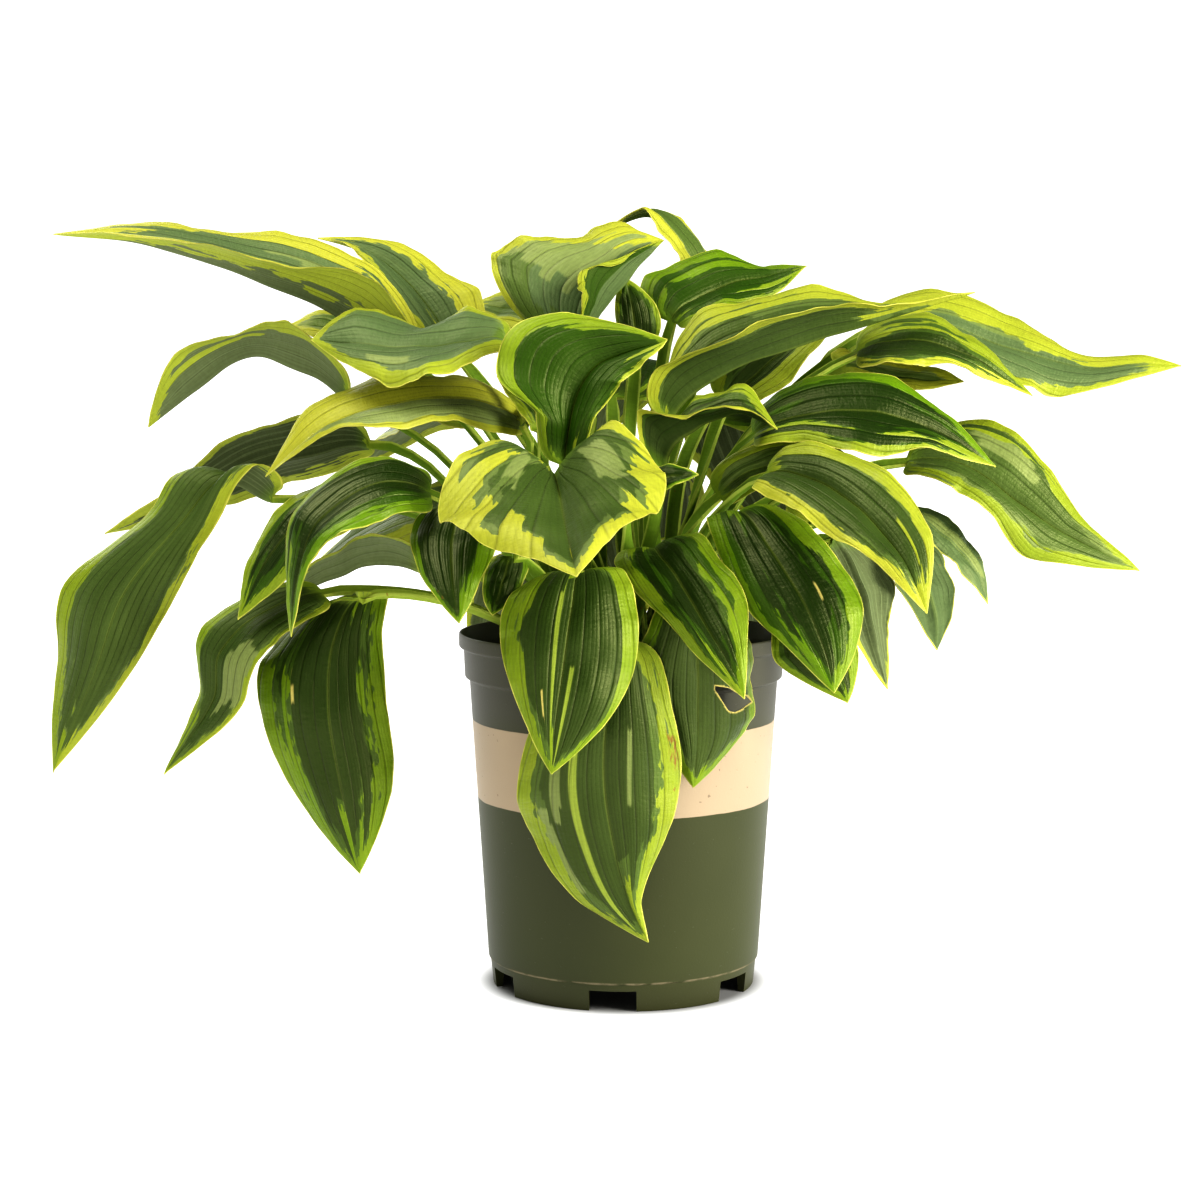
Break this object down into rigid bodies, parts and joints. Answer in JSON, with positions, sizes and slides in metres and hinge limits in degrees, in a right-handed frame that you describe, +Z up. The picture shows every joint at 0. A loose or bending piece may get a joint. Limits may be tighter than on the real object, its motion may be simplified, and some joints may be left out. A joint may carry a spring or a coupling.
{
  "type": "potted hosta plant",
  "caption": "Leafy hosta with broad pointed leaves on arching stalks, standing in a round nursery pot of potting soil.",
  "frame": {"origin": "centre of the pot's foot, on the surface it stands on", "axes": "+X to the viewer's right across the leaves' widest spread, +Z up the pot's axis, -Y towards the viewer of the reference picture"},
  "size_m": [0.5752, 0.3789, 0.3981],
  "materials": {
    "pot": "satin",
    "soil": "matte",
    "leaf": "satin"
  },
  "bodies": {
    "root": {"leaf_back_centre": "leaf", "leaf_back_far": "leaf", "leaf_back_hang_left": "leaf", "leaf_back_hang_right": "leaf", "leaf_back_left": "leaf", "leaf_back_left_low": "leaf", "leaf_back_right": "leaf", "leaf_back_right_low": "leaf", "leaf_front_bitten": "leaf", "leaf_front_bud": "leaf", "leaf_front_centre": "leaf", "leaf_front_funnel": "leaf", "leaf_front_heart": "leaf", "leaf_front_low": "leaf", "leaf_front_right": "leaf", "leaf_front_small": "leaf", "leaf_front_vee": "leaf", "leaf_left_arch": "leaf", "leaf_left_behind": "leaf", "leaf_left_dark": "leaf", "leaf_left_droop": "leaf", "leaf_left_face": "leaf", "leaf_left_gloss": "leaf", "leaf_left_grey": "leaf", "leaf_left_hanging": "leaf", "leaf_left_inner": "leaf", "leaf_left_long": "leaf", "leaf_left_small": "leaf", "leaf_left_torn": "leaf", "leaf_left_twist": "leaf", "leaf_left_under": "leaf", "leaf_left_yellow": "leaf", "leaf_right_behind": "leaf", "leaf_right_broad": "leaf", "leaf_right_curled": "leaf", "leaf_right_drop": "leaf", "leaf_right_far": "leaf", "leaf_right_fold": "leaf", "leaf_right_grey": "leaf", "leaf_right_lobe": "leaf", "leaf_right_long": "leaf", "leaf_right_narrow": "leaf", "leaf_right_pale": "leaf", "leaf_right_reach": "leaf", "leaf_right_shade": "leaf", "leaf_right_sliver": "leaf", "leaf_right_tucked": "leaf", "leaf_top_back": "leaf", "leaf_top_crest": "leaf", "leaf_top_left": "leaf", "leaf_top_right": "leaf", "leaf_top_small": "leaf", "pot": "pot", "soil": "soil"}
  },
  "joints": []
}
